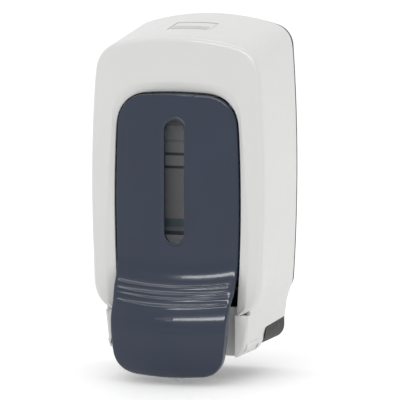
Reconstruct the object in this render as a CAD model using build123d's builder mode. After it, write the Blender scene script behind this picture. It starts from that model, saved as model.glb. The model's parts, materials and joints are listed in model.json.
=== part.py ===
"""Wall mounted push-lever soap dispenser.

Millimetres. The wall is the plane Y = 0, the front faces -Y, +X is to the right and +Z is up.
The origin is on the wall at the centre of the four wall screws.
"""

import os

from build123d import *

# ---- driving dimensions ------------------------------------------------------------------------

COVER_BACK_Y = -3.5  # rear edge of the cover, just in front of the back plate
FRAME_Y = -84.0  # front face of the cover's frame
COVER_WALL = 2.6
FRAME_WALL = 4.2
WIDEST_X = 65.9  # half-width of the cover's barrel shaped sides

HINGE_Y = -57.0  # cover hinge at the foot
HINGE_Z = -119.0
HINGE_PIN_R = 2.0
RUNNING_GAP = 0.05

AXLE_Y = -75.5  # rod that carries the lever
AXLE_Z = 56.0
AXLE_R = 2.5
PANEL_WALL = 3.0

PUMP_Z = -100.0  # axis of the horizontal pump
NECK_Y = -42.0  # axis of the bottle's neck
BORE_R = 10.5
STEM_R = 6.5
SPOUT_Y = -85.0  # axis of the down tube
NOZZLE_END_Z = -143.2

SCREW_SPACING_X = 76.0
SCREW_SPACING_Z = 100.0
WALL_SCREW_R = 2.75

LATCH_PIN_Y = -55.0  # pivot of the release tab
LATCH_PIN_Z = 104.0

# Distances that tools for cutting reach to, well past the part
PAST_SIDE_X = 80.0
PAST_FRONT_Y = -100.0
PAST_FOOT_Z = -160.0

FRONTWARDS = (0, -1, 0)
parts_made = []


def finish(piece, name):
    """Labels a finished piece and keeps it for export."""
    piece.part.label = name
    parts_made.append(piece.part)


# ---- shared shapes -----------------------------------------------------------------------------

# Right-hand half of an arched outline, from the crown down to the foot, as (X, Z)
REAR_ARCH = [(0, 119.3), (50, 112), (58.6, 106.4), (62.6, 96),
             (WIDEST_X, 3), (63.4, -76), (61.4, -81.5), (58.2, -86)]
FRONT_ARCH = [(0, 105.8), (44, 100.6), (57.2, 93.6), (62.6, 80),
              (WIDEST_X, -2), (63.9, -67), (60.7, -85.2), (51, -93.8)]

# Right-hand half of the cover's lower body: top, side foot, round corner and bottom, as (X, Z)
REAR_FOOT = [(60.4, -78), (55.7, -112), (53.1, -120.6), (45.0, -124.5)]
FRONT_FOOT = [(55.4, -84), (53.0, -114), (50.4, -121.4), (43.0, -124.5)]


def front_plane(y):
    """Plane facing the front, at depth y, with X across and Z up."""
    return Plane.XZ.offset(-y)


def side_plane(x):
    """Plane facing +X at distance x, with Y across and Z up."""
    return Plane.YZ.offset(x)


def arch_face(y, arch, inset):
    """Arched outline at depth y, drawn inset all round."""
    apex, crown, shoulder, side_top, side, side_foot, foot_corner, foot = arch
    with BuildSketch(front_plane(y)) as outline:
        with BuildLine():
            ThreePointArc((-crown[0], crown[1]), apex, crown)
            for s in (1, -1):
                for start, middle, end in ((crown, shoulder, side_top), (side_top, side, side_foot),
                                           (side_foot, foot_corner, foot)):
                    ThreePointArc((s * start[0], start[1]), (s * middle[0], middle[1]), (s * end[0], end[1]))
            Line(foot, (-foot[0], foot[1]))
        make_face()
        if inset:
            offset(amount=-inset, kind=Kind.INTERSECTION)
    return outline.sketch


def foot_face(y, foot, inset):
    """Outline of the narrow lower body at depth y."""
    top, side, corner, bottom = foot
    with BuildSketch(front_plane(y)) as outline:
        with BuildLine():
            for s in (1, -1):
                Line((s * top[0], top[1]), (s * side[0], side[1]))
                ThreePointArc((s * side[0], side[1]), (s * corner[0], corner[1]), (s * bottom[0], bottom[1]))
            Line(bottom, (-bottom[0], bottom[1]))
            Line(top, (-top[0], top[1]))
        make_face()
        if inset:
            offset(amount=-inset, kind=Kind.INTERSECTION)
    return outline.sketch


def side_prism(points, half_width, round_corner=None, corner_r=0):
    """Solid with the given side outline, as (Y, Z) points, centred on X = 0. One corner may be round."""
    with BuildPart() as prism:
        with BuildSketch(Plane.YZ) as outline:
            with BuildLine():
                Polyline(*points, close=True)
            make_face()
            if round_corner:
                fillet(outline.vertices().sort_by_distance((*round_corner, 0))[0], corner_r)
        extrude(amount=half_width, both=True)
    return prism.part


def rod_x(x0, x1, y, z, radius):
    """Round rod along X."""
    with BuildPart() as rod:
        with BuildSketch(side_plane(x0)):
            with Locations((y, z)):
                Circle(radius)
        extrude(amount=x1 - x0)
    return rod.part


def rod_y(y0, y1, x, z, radius):
    """Round rod along Y, from the deeper y0 to the nearer y1 (y1 < y0)."""
    with BuildPart() as rod:
        with BuildSketch(front_plane(y0)):
            with Locations((x, z)):
                Circle(radius)
        extrude(amount=y0 - y1)
    return rod.part


def rod_z(z0, z1, x, y, radius):
    """Upright round rod."""
    with BuildPart() as rod:
        with BuildSketch(Plane.XY.offset(z0)):
            with Locations((x, y)):
                Circle(radius)
        extrude(amount=z1 - z0)
    return rod.part


def block(x0, x1, y0, y1, z0, z1):
    """Rectangular block between two corners."""
    with BuildPart() as brick:
        with Locations(((x0 + x1) / 2, (y0 + y1) / 2, (z0 + z1) / 2)):
            Box(abs(x1 - x0), abs(y1 - y0), abs(z1 - z0))
    return brick.part


def both_sides(shape):
    """The shape and its mirror image in the plane X = 0."""
    return [shape, mirror(shape, about=Plane.YZ)]


# ---- front cover -------------------------------------------------------------------------------

# Side outline of the back plate's cheeks, as (Y, Z): rear end of the top edge, then the top corner
# and the foot of the slanted front edge
CHEEK_REAR = (0, -104.1)
CHEEK_TOP = (-44.3, -107.8)
CHEEK_FOOT = (-48.5, -121.0)
CHEEK_CORNER_R = 4.0
CHEEK_GAP = 0.6
POCKET_X = 44.4  # half-width between the cover's two front pillars
POCKET_WALL_Y = -76.0
POCKET_TOP_Z = -87.0
SPOUT_SLOT_X = 22.0
OPENING_FOOT_X = 45.4
OPENING_FOOT_Z = -93.4
OPENING_BEVEL = 2.0
OPENING_BEVEL_WIDTH = 7.0
EAR_X = 41.0
EAR_THICK = 4.0
EAR_R = 4.5

with BuildPart() as cover_outer:
    add(arch_face(COVER_BACK_Y, REAR_ARCH, 0))
    add(arch_face(FRAME_Y, FRONT_ARCH, 0))
    loft(ruled=True)
    fillet(cover_outer.faces().sort_by(Axis.Y)[0].edges(), 3.5)

with BuildPart() as foot_outer:
    add(foot_face(COVER_BACK_Y, REAR_FOOT, 0))
    add(foot_face(FRAME_Y + 0.6, FRONT_FOOT, 0))
    loft(ruled=True)
    lower_edges = foot_outer.edges().filter_by(lambda e: abs(e.center().Y + 43.4) < 3)
    fillet(lower_edges.sort_by(Axis.Z)[:4], 4.0)

with BuildPart() as cover_cavity:
    add(arch_face(COVER_BACK_Y + 1, REAR_ARCH, COVER_WALL))
    add(arch_face(FRAME_Y + FRAME_WALL, FRONT_ARCH, COVER_WALL))
    loft(ruled=True)

HINGE_BAY_X = 45.4  # half-width of the bay in the cover's bottom that the hinge brackets stand in
SILL_BACK_Y = -66.0

with BuildPart() as foot_cavity:
    add(foot_face(COVER_BACK_Y + 1, REAR_FOOT, COVER_WALL))
    add(foot_face(FRAME_Y + FRAME_WALL, FRONT_FOOT, COVER_WALL))
    loft(ruled=True)
    # the wall of the pocket behind the pad stays solid
    add(block(-POCKET_X - COVER_WALL, POCKET_X + COVER_WALL, POCKET_WALL_Y + COVER_WALL, PAST_FRONT_Y,
              PAST_FOOT_Z, POCKET_TOP_Z), mode=Mode.SUBTRACT)
    # opening between the lower body and the arch above it
    add(block(-52, 52, COVER_BACK_Y, POCKET_WALL_Y + COVER_WALL, -84, -74))
    # bay for the hinge brackets and the tray
    add(block(-HINGE_BAY_X, HINGE_BAY_X, COVER_BACK_Y, SILL_BACK_Y, PAST_FOOT_Z, -90))

cutout_rear = (5, CHEEK_REAR[1] + CHEEK_GAP)
cutout_top = (CHEEK_TOP[0] - CHEEK_GAP, CHEEK_TOP[1] + CHEEK_GAP)
cutout_foot = (CHEEK_FOOT[0] - CHEEK_GAP, CHEEK_FOOT[1] + CHEEK_GAP)
SILL_Z = -124.8  # just below the cover's bottom
cheek_cutout = side_prism([cutout_rear, cutout_top, cutout_foot, (-50.4, -122.6), (-53.4, -124.2),
                           (-57, SILL_Z), (PAST_FRONT_Y, SILL_Z), (PAST_FRONT_Y, PAST_FOOT_Z),
                           (5, PAST_FOOT_Z)],
                          PAST_SIDE_X, cutout_top, CHEEK_CORNER_R + CHEEK_GAP)


def opening_face(y, grow):
    """Outline of the lever opening at depth y, grown all round."""
    slant = grow * 0.7
    with BuildSketch(front_plane(y)) as outline:
        with BuildLine():
            Line((OPENING_FOOT_X + grow, OPENING_FOOT_Z), (-OPENING_FOOT_X - grow, OPENING_FOOT_Z))
            for s in (1, -1):
                foot = (s * (OPENING_FOOT_X + grow), -88)
                side_foot = (s * (47.2 + grow), -62)
                side_top = (s * (46.7 + grow), 42)
                corner_end = (s * (23 + grow * 0.1), 65.4 + grow)
                Polyline((foot[0], OPENING_FOOT_Z), foot, side_foot)
                ThreePointArc(side_foot, (s * (48.2 + grow), -5), side_top)
                ThreePointArc(side_top, (s * (40 + slant), 58.8 + slant), corner_end)
            ThreePointArc((23 + grow * 0.1, 65.4 + grow), (0, 66.2 + grow), (-23 - grow * 0.1, 65.4 + grow))
        make_face()
    return outline.sketch


with BuildPart() as lever_opening:
    add(opening_face(FRAME_Y + 8, 0))
    add(opening_face(FRAME_Y - 4, 0))
    loft(ruled=True)

# shallow bevel round the opening
with BuildPart() as opening_bevel:
    add(opening_face(FRAME_Y + OPENING_BEVEL, 0))
    add(opening_face(FRAME_Y - 1, OPENING_BEVEL_WIDTH * (1 + 1 / OPENING_BEVEL)))
    loft(ruled=True)

with BuildPart() as front_cover:
    add(cover_outer.part)
    add(foot_outer.part)
    add(cover_cavity.part, mode=Mode.SUBTRACT)
    add(foot_cavity.part, mode=Mode.SUBTRACT)
    add(cheek_cutout, mode=Mode.SUBTRACT)
    add(lever_opening.part, mode=Mode.SUBTRACT)
    add(opening_bevel.part, mode=Mode.SUBTRACT)
    # pocket behind the push pad, and the slot that the spout passes through
    for half_x, rear_y, roof_z in ((POCKET_X, POCKET_WALL_Y, POCKET_TOP_Z),
                                   (SPOUT_SLOT_X, -60, POCKET_TOP_Z + 1)):
        add(block(-half_x, half_x, rear_y, PAST_FRONT_Y, PAST_FOOT_Z, roof_z), mode=Mode.SUBTRACT)
    # hinge ears at the foot, on arms that reach back from the sill
    for s in (1, -1):
        x0 = EAR_X if s > 0 else -EAR_X - EAR_THICK
        with BuildSketch(side_plane(x0)):
            with Locations((HINGE_Y, HINGE_Z)):
                Circle(EAR_R)
            with BuildLine():
                Polyline((HINGE_Y, HINGE_Z - EAR_R), (-66, -123.8), (-75, -123.8), (-75, -108),
                         (HINGE_Y, HINGE_Z + EAR_R), close=True)
            make_face()
        extrude(amount=EAR_THICK)
    add(rod_x(-PAST_SIDE_X, PAST_SIDE_X, HINGE_Y, HINGE_Z, HINGE_PIN_R + RUNNING_GAP), mode=Mode.SUBTRACT)
    # bosses that hold the lever's rod behind the frame
    for boss in both_sides(block(47.2, 52, AXLE_Y + 5, FRAME_Y + FRAME_WALL - 0.5, AXLE_Z - 6, AXLE_Z + 6)):
        add(boss)
    add(rod_x(-52.5, 52.5, AXLE_Y, AXLE_Z, AXLE_R), mode=Mode.SUBTRACT)
    # aperture of the release tab, and two cheeks under the top that hold its pin
    add(block(-16.2, 16.2, -35.0, -58.8, 90, 125), mode=Mode.SUBTRACT)
    for cheek in both_sides(block(17, 20, LATCH_PIN_Y + 4, LATCH_PIN_Y - 4, LATCH_PIN_Z - 4, 108)):
        add(cheek)
    add(rod_x(-20, 20, LATCH_PIN_Y, LATCH_PIN_Z, 1.5), mode=Mode.SUBTRACT)
    # ledge that the release tab's spring stands on
    add(block(-20, 20, -40, -47, 95.5, 97))
    for web in both_sides(block(17, 20, -40, -47, 96, 110)):
        add(web)
finish(front_cover, "front_cover")

# ---- back plate --------------------------------------------------------------------------------

PLATE_THICK = 3.0
CHEEK_X = 55.5
BRACKET_X = 35.5
BRACKET_THICK = 5.0
BRACKET_R = 5.0
SHELF_SCREW_X = (-36, -22, 22, 36)
SHELF_SCREW_Z = -66.0
SHELF_SCREW_R = 1.4
CATCH_SCREW_X = (-9, 9)
CATCH_SCREW_Z = 100.0
CATCH_SCREW_R = 1.2
TRAY_FLOOR_Z = CHEEK_FOOT[1]
TRAY_TOP_Z = -80.0
TRAY_DEPTH = 60.0
TRAY_CORNER_R = 10.0

# Tray below the cover: floor and two cheeks with round lower corners
with BuildPart() as tray:
    with BuildSketch(front_plane(0)):
        with Locations((0, (TRAY_FLOOR_Z + TRAY_TOP_Z) / 2)):
            RectangleRounded(2 * CHEEK_X, TRAY_TOP_Z - TRAY_FLOOR_Z, TRAY_CORNER_R)
    extrude(amount=TRAY_DEPTH)
    with BuildSketch(front_plane(-PLATE_THICK)):
        with Locations((0, (TRAY_FLOOR_Z + TRAY_TOP_Z) / 2 + PLATE_THICK)):
            RectangleRounded(2 * (CHEEK_X - PLATE_THICK), TRAY_TOP_Z - TRAY_FLOOR_Z,
                             TRAY_CORNER_R - PLATE_THICK)
    extrude(amount=TRAY_DEPTH, mode=Mode.SUBTRACT)
    add(side_prism([(0, -70), (-PLATE_THICK, -70), (-PLATE_THICK, CHEEK_REAR[1]), CHEEK_TOP, CHEEK_FOOT,
                    (CHEEK_FOOT[0], PAST_FOOT_Z), (0, PAST_FOOT_Z)], PAST_SIDE_X, CHEEK_TOP, CHEEK_CORNER_R),
        mode=Mode.INTERSECT)
    # the floor stops short of the cover's hinge
    add(block(-45.6, 45.6, -44, -TRAY_DEPTH, PAST_FOOT_Z, -110), mode=Mode.SUBTRACT)

with BuildPart() as back_plate:
    add(arch_face(0, REAR_ARCH, 0.6))
    extrude(amount=PLATE_THICK, dir=FRONTWARDS)
    add(tray.part)
    # locating rim inside the cover
    add(arch_face(-PLATE_THICK, REAR_ARCH, 8))
    extrude(amount=8, dir=FRONTWARDS)
    add(arch_face(-PLATE_THICK, REAR_ARCH, 10.2))
    extrude(amount=8, dir=FRONTWARDS, mode=Mode.SUBTRACT)
    add(block(-PAST_SIDE_X, PAST_SIDE_X, -PLATE_THICK, -12, -68, -101), mode=Mode.SUBTRACT)
    # stiffening ribs
    for x in (-18, 18):
        add(block(x - 1, x + 1, -PLATE_THICK, -6, -55, 105))
    for z in (-30, 30, 85):
        add(block(-50, 50, -PLATE_THICK, -6, z - 1, z + 1))
    # bosses and holes for the wall screws
    with BuildSketch(front_plane(-PLATE_THICK)):
        with GridLocations(SCREW_SPACING_X, SCREW_SPACING_Z, 2, 2):
            Circle(7)
    extrude(amount=2)
    with BuildSketch(front_plane(0)):
        with GridLocations(SCREW_SPACING_X, SCREW_SPACING_Z, 2, 2):
            Circle(WALL_SCREW_R)
    extrude(amount=8, mode=Mode.SUBTRACT)
    # brackets that hold the hinge pins
    for x0 in (BRACKET_X, -BRACKET_X - BRACKET_THICK):
        with BuildSketch(side_plane(x0)):
            with Locations((HINGE_Y, HINGE_Z)):
                Circle(BRACKET_R)
            with BuildLine():
                Polyline((HINGE_Y, HINGE_Z + BRACKET_R), (HINGE_Y, HINGE_Z - BRACKET_R), (-36, TRAY_FLOOR_Z),
                         (-2, TRAY_FLOOR_Z), (-2, -106), close=True)
            make_face()
        extrude(amount=BRACKET_THICK)
    add(rod_x(-42, 42, HINGE_Y, HINGE_Z, HINGE_PIN_R), mode=Mode.SUBTRACT)
    # seat of the latch catch
    add(block(-14, 14, -PLATE_THICK, -6, 96, 108))
    for x in CATCH_SCREW_X:
        add(rod_y(-2, -7, x, CATCH_SCREW_Z, CATCH_SCREW_R), mode=Mode.SUBTRACT)
    # pilot holes of the shelf's screws
    for x in SHELF_SCREW_X:
        add(rod_y(-1, -4, x, SHELF_SCREW_Z, SHELF_SCREW_R), mode=Mode.SUBTRACT)
finish(back_plate, "back_plate")

with BuildPart() as cover_hinge_pins:
    for pin in both_sides(rod_x(BRACKET_X, EAR_X + EAR_THICK + 0.6, HINGE_Y, HINGE_Z, HINGE_PIN_R)):
        add(pin)
finish(cover_hinge_pins, "cover_hinge_pins")

# Catch: a plate on the seat, with a lip that the release tab's hook reaches under
with BuildPart() as latch_catch:
    add(block(-12, 12, -6, -8, 96.5, 107.5))
    add(block(-7, 7, -8, -14.5, 105.5, 107.5))
    for x in CATCH_SCREW_X:
        add(rod_y(-5, -9, x, CATCH_SCREW_Z, CATCH_SCREW_R + 0.4), mode=Mode.SUBTRACT)
finish(latch_catch, "latch_catch")


def screw(x, z, head_y, shank_r, shank_end_y, head_r, head_thick):
    """Pan head screw along Y, its head towards the front."""
    with BuildPart() as fastener:
        add(rod_y(shank_end_y, head_y, x, z, shank_r))
        add(rod_y(head_y, head_y - head_thick, x, z, head_r))
        add(block(x - head_r * 0.6, x + head_r * 0.6, head_y - head_thick + 0.6, head_y - head_thick - 1,
                  z - 0.3, z + 0.3), mode=Mode.SUBTRACT)
        add(block(x - 0.3, x + 0.3, head_y - head_thick + 0.6, head_y - head_thick - 1,
                  z - head_r * 0.6, z + head_r * 0.6), mode=Mode.SUBTRACT)
    return fastener.part


with BuildPart() as catch_screws:
    for x in CATCH_SCREW_X:
        add(screw(x, CATCH_SCREW_Z, -8, CATCH_SCREW_R, -2.4, 2.4, 1.6))
finish(catch_screws, "catch_screws")

# ---- neck shelf --------------------------------------------------------------------------------

SHELF_TOP_Z = -76.0
SHELF_THICK = 3.5
SHELF_RIB_THICK = 2.4
COLLAR_R = 15.0

with BuildPart() as neck_shelf:
    add(block(-46, 46, -PLATE_THICK, -64, SHELF_TOP_Z - SHELF_THICK, SHELF_TOP_Z))
    fillet(neck_shelf.edges().filter_by(Axis.Z).sort_by(Axis.Y)[:2], 8)
    add(block(-46, 46, -PLATE_THICK, -6, SHELF_TOP_Z - 1, -59))
    # fork for the collar, open to the front
    add(rod_z(-90, -70, 0, NECK_Y, COLLAR_R + 0.4), mode=Mode.SUBTRACT)
    add(block(-COLLAR_R - 0.4, COLLAR_R + 0.4, NECK_Y, -70, -90, -70), mode=Mode.SUBTRACT)
    # ribs under and over the shelf
    upper_rib = side_prism([(-5, -58), (-5, SHELF_TOP_Z - 0.5), (-50, SHELF_TOP_Z - 0.5),
                            (-50, SHELF_TOP_Z + 2)], SHELF_RIB_THICK / 2)
    lower_rib = side_prism([(-PLATE_THICK, -96), (-PLATE_THICK, SHELF_TOP_Z - 3), (-55, SHELF_TOP_Z - 3)],
                           SHELF_RIB_THICK / 2)
    for x in (-43, 43):
        add(upper_rib.translate((x, 0, 0)))
        add(lower_rib.translate((x, 0, 0)))
    for x in SHELF_SCREW_X:
        add(rod_y(-2, -7, x, SHELF_SCREW_Z, SHELF_SCREW_R + 0.4), mode=Mode.SUBTRACT)
finish(neck_shelf, "neck_shelf")

with BuildPart() as shelf_screws:
    for x in SHELF_SCREW_X:
        add(screw(x, SHELF_SCREW_Z, -6, SHELF_SCREW_R, -1.2, 2.9, 1.8))
finish(shelf_screws, "shelf_screws")

# ---- refill ------------------------------------------------------------------------------------

BOTTLE_BACK_Y = -8.0
BOTTLE_FRONT_Y = -67.0
BOTTLE_X = 44.0
BOTTLE_TOP_Z = 90.0
BOTTLE_SHOULDER_Z = -50.0
NECK_R = 13.0
NECK_END_Z = -82.0
BOTTLE_WALL = 1.2
BOTTLE_Y = (BOTTLE_BACK_Y + BOTTLE_FRONT_Y) / 2


def bottle_solid(inset):
    """Bottle upside down: rounded box, shoulder and neck, drawn inset all round."""
    width = 2 * (BOTTLE_X - inset)
    depth = BOTTLE_BACK_Y - BOTTLE_FRONT_Y - 2 * inset
    with BuildPart() as bottle:
        with BuildSketch(Plane.XY.offset(BOTTLE_SHOULDER_Z)):
            with Locations((0, BOTTLE_Y)):
                RectangleRounded(width, depth, 13 - inset)
        extrude(amount=BOTTLE_TOP_Z - inset - BOTTLE_SHOULDER_Z)
        fillet(bottle.faces().sort_by(Axis.Z)[-1].edges(), 7)
        with BuildSketch(Plane.XY.offset(BOTTLE_SHOULDER_Z)):
            with Locations((0, BOTTLE_Y)):
                RectangleRounded(width, depth, 13 - inset)
        with BuildSketch(Plane.XY.offset(inset - 63)):
            with Locations((0, NECK_Y)):
                RectangleRounded(2 * (NECK_R + 4 - inset), 2 * (NECK_R + 4 - inset), NECK_R + 3.5 - inset)
        loft()
        extra = 1 if inset else 0
        with BuildSketch(Plane.XY.offset(-61)):
            with Locations((0, NECK_Y)):
                Circle(NECK_R - inset)
        extrude(amount=NECK_END_Z + 61 - extra)
    return bottle.part


with BuildPart() as refill_bottle:
    add(bottle_solid(0))
    add(bottle_solid(BOTTLE_WALL), mode=Mode.SUBTRACT)
finish(refill_bottle, "refill_bottle")

with BuildPart() as refill_label:
    add(block(-30, 30, BOTTLE_FRONT_Y, BOTTLE_FRONT_Y - 0.3, -42, 62))
    fillet(refill_label.edges().filter_by(Axis.Y), 3)
finish(refill_label, "refill_label")

# ---- pump --------------------------------------------------------------------------------------

STEM_TOP_Z = -83.5
CYLINDER_R = 12.4
CYLINDER_BACK_Y = -24.0
CYLINDER_FRONT_Y = -64.0
BORE_BACK_Y = -27.0
SEAT_R = 1.7  # inlet check valve
PORT_R = 1.5
CHAMBER_R = 2.6
CHAMBER_TOP_Z = -85.1
CHAMBER_FLOOR_Z = -88.4
BALL_R = 2.0

with BuildPart() as pump_collar:
    add(rod_z(-87.3, -72.5, 0, NECK_Y, COLLAR_R))
    add(rod_z(-75.9, -72.5, 0, NECK_Y, COLLAR_R + 4))
    add(rod_z(-86, -70, 0, NECK_Y, NECK_R + 0.1), mode=Mode.SUBTRACT)
    add(rod_z(-90, -80, 0, NECK_Y, 10.6), mode=Mode.SUBTRACT)
    # grip ribs below the flange
    with BuildSketch(Plane.XY.offset(-87.3)):
        with Locations((0, NECK_Y)):
            with PolarLocations(COLLAR_R, 24):
                Rectangle(0.6, 1.2)
    extrude(amount=6)
finish(pump_collar, "pump_collar")

with BuildPart() as neck_gasket:
    add(rod_z(STEM_TOP_Z, NECK_END_Z, 0, NECK_Y, 12.8))
    add(rod_z(STEM_TOP_Z - 1, NECK_END_Z + 1, 0, NECK_Y, 9), mode=Mode.SUBTRACT)
finish(neck_gasket, "neck_gasket")

with BuildPart() as pump_body:
    add(rod_z(-86, STEM_TOP_Z, 0, NECK_Y, 12.8))
    add(rod_z(PUMP_Z, STEM_TOP_Z, 0, NECK_Y, 10.2))
    add(rod_y(CYLINDER_BACK_Y, CYLINDER_FRONT_Y, 0, PUMP_Z, CYLINDER_R))
    add(rod_y(BORE_BACK_Y, CYLINDER_FRONT_Y - 1, 0, PUMP_Z, BORE_R), mode=Mode.SUBTRACT)
    # inlet: funnel, upper seat, ball chamber and lower port
    with BuildSketch(Plane.XZ.offset(-NECK_Y)):
        with BuildLine():
            Polyline((0, STEM_TOP_Z), (8.5, STEM_TOP_Z), (SEAT_R, STEM_TOP_Z - 1.3), (SEAT_R, CHAMBER_TOP_Z),
                     (CHAMBER_R, CHAMBER_TOP_Z), (CHAMBER_R, CHAMBER_FLOOR_Z), (PORT_R, CHAMBER_FLOOR_Z),
                     (PORT_R, PUMP_Z + BORE_R - 1), (0, PUMP_Z + BORE_R - 1), close=True)
        make_face()
    revolve(axis=Axis((0, NECK_Y, 0), (0, 0, 1)), mode=Mode.SUBTRACT)
finish(pump_body, "pump_body")

with BuildPart() as inlet_ball:
    with Locations((0, NECK_Y, CHAMBER_FLOOR_Z + (BALL_R**2 - PORT_R**2) ** 0.5 + 0.02)):
        Sphere(BALL_R)
finish(inlet_ball, "inlet_ball")


def spring_x(x0, length, y, z, coil_r, wire_r, pitch):
    """Coil spring along X."""
    with BuildPart() as coil:
        with BuildLine() as path:
            Helix(pitch, length, coil_r, center=(x0, y, z), direction=(1, 0, 0))
        with BuildSketch(Plane(origin=path.line @ 0, z_dir=path.line % 0)):
            Circle(wire_r)
        sweep(path=path.line, is_frenet=True)
    return coil.part


def spring_y(y0, length, z, coil_r, wire_r, pitch):
    """Coil spring along -Y, on X = 0."""
    with BuildPart() as coil:
        with BuildLine() as path:
            Helix(pitch, length, coil_r, center=(0, y0, z), direction=(0, -1, 0))
        with BuildSketch(Plane(origin=path.line @ 0, z_dir=path.line % 0)):
            Circle(wire_r)
        sweep(path=path.line, is_frenet=True)
    return coil.part


def spring_z(z0, length, y, coil_r, wire_r, pitch):
    """Upright coil spring, on X = 0."""
    with BuildPart() as coil:
        with BuildLine() as path:
            Helix(pitch, length, coil_r, center=(0, y, z0), direction=(0, 0, 1))
        with BuildSketch(Plane(origin=path.line @ 0, z_dir=path.line % 0)):
            Circle(wire_r)
        sweep(path=path.line, is_frenet=True)
    return coil.part


DISC_BACK_Y = -56.0
DISC_FRONT_Y = -60.0
STEM_END_Y = -82.0
SEAL_IN_R = 8.6
CAP_FRONT_Y = -67.5

with BuildPart() as pump_spring:
    add(spring_y(BORE_BACK_Y - 0.9, 27, PUMP_Z, 7.5, 0.7, 4.5))
finish(pump_spring, "pump_spring")

with BuildPart() as piston:
    add(rod_y(DISC_BACK_Y, DISC_FRONT_Y, 0, PUMP_Z, BORE_R - 0.3))
    add(rod_y(DISC_BACK_Y, STEM_END_Y, 0, PUMP_Z, STEM_R))
    add(rod_y(DISC_BACK_Y - 1.1, DISC_FRONT_Y + 1.1, 0, PUMP_Z, BORE_R), mode=Mode.SUBTRACT)
    add(rod_y(DISC_BACK_Y - 1.1, DISC_FRONT_Y + 1.1, 0, PUMP_Z, SEAL_IN_R))
    add(rod_y(DISC_BACK_Y + 1, STEM_END_Y - 1, 0, PUMP_Z, 2.6), mode=Mode.SUBTRACT)
finish(piston, "piston")

with BuildPart() as piston_seal:
    add(rod_y(DISC_BACK_Y - 1.1, DISC_FRONT_Y + 1.1, 0, PUMP_Z, BORE_R - RUNNING_GAP))
    add(rod_y(DISC_BACK_Y, DISC_FRONT_Y, 0, PUMP_Z, SEAL_IN_R), mode=Mode.SUBTRACT)
finish(piston_seal, "piston_seal")

with BuildPart() as cylinder_cap:
    add(rod_y(-58, CAP_FRONT_Y, 0, PUMP_Z, CYLINDER_R + 1.8))
    fillet(cylinder_cap.faces().sort_by(Axis.Y)[0].edges(), 1)
    add(rod_y(-57, CYLINDER_FRONT_Y, 0, PUMP_Z, CYLINDER_R), mode=Mode.SUBTRACT)
    add(rod_y(-60, -70, 0, PUMP_Z, STEM_R + RUNNING_GAP), mode=Mode.SUBTRACT)
    add(rod_y(-64.8, -66.4, 0, PUMP_Z, 8.6), mode=Mode.SUBTRACT)
    with BuildSketch(front_plane(-58)):
        with Locations((0, PUMP_Z)):
            with PolarLocations(CYLINDER_R + 1.8, 20):
                Rectangle(0.6, 1.4)
    extrude(amount=7)
finish(cylinder_cap, "cylinder_cap")

with BuildPart() as cap_wiper:
    add(rod_y(-64.8, -66.4, 0, PUMP_Z, 8.6))
    add(rod_y(-64, -67, 0, PUMP_Z, STEM_R + RUNNING_GAP), mode=Mode.SUBTRACT)
finish(cap_wiper, "cap_wiper")

with BuildPart() as outlet_valve:
    add(rod_y(-72, -78, 0, PUMP_Z, 2.6))
    add(block(-2.2, 2.2, -78, -81.5, PUMP_Z - 0.6, PUMP_Z + 0.6))
    add(rod_y(-71, -77, 0, PUMP_Z, 1.3), mode=Mode.SUBTRACT)
finish(outlet_valve, "outlet_valve")

# ---- spout -------------------------------------------------------------------------------------

HEAD_FRONT_Y = -97.0
TUBE_R = 6.0
TUBE_END_Z = -133.0
TUBE_BORE_R = 4.4

with BuildPart() as spout:
    add(rod_y(-79.5, -94, 0, PUMP_Z, 8.5))
    fillet(spout.edges().filter_by(GeomType.CIRCLE).sort_by(Axis.Y)[0], 2)
    add(rod_y(-93, HEAD_FRONT_Y, 0, PUMP_Z, 6))
    add(rod_z(TUBE_END_Z, PUMP_Z, 0, SPOUT_Y, TUBE_R))
    add(rod_y(-79, STEM_END_Y, 0, PUMP_Z, STEM_R), mode=Mode.SUBTRACT)
    add(rod_y(-81, -86, 0, PUMP_Z, 3), mode=Mode.SUBTRACT)
    add(rod_z(TUBE_END_Z - 1, PUMP_Z, 0, SPOUT_Y, TUBE_BORE_R), mode=Mode.SUBTRACT)
finish(spout, "spout")

with BuildPart() as foam_screen:
    add(rod_z(-125, -118, 0, SPOUT_Y, TUBE_BORE_R))
    add(rod_z(-124.5, -118.5, 0, SPOUT_Y, TUBE_BORE_R - 0.7), mode=Mode.SUBTRACT)
    with BuildSketch(Plane.XY.offset(-126)):
        with Locations((0, SPOUT_Y)):
            with GridLocations(1.1, 1.1, 5, 5):
                Rectangle(0.6, 0.6)
    extrude(amount=9, mode=Mode.SUBTRACT)
finish(foam_screen, "foam_screen")

with BuildPart() as nozzle_tip:
    with BuildSketch(Plane.XZ.offset(-SPOUT_Y)):
        with BuildLine():
            Polyline((3, -127), (TUBE_BORE_R, -127), (TUBE_BORE_R, TUBE_END_Z), (TUBE_R, TUBE_END_Z),
                     (5.4, NOZZLE_END_Z + 1), (4.4, NOZZLE_END_Z), (3, NOZZLE_END_Z), close=True)
        make_face()
    revolve(axis=Axis((0, SPOUT_Y, 0), (0, 0, 1)))
finish(nozzle_tip, "nozzle_tip")

# ---- push lever --------------------------------------------------------------------------------

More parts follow.
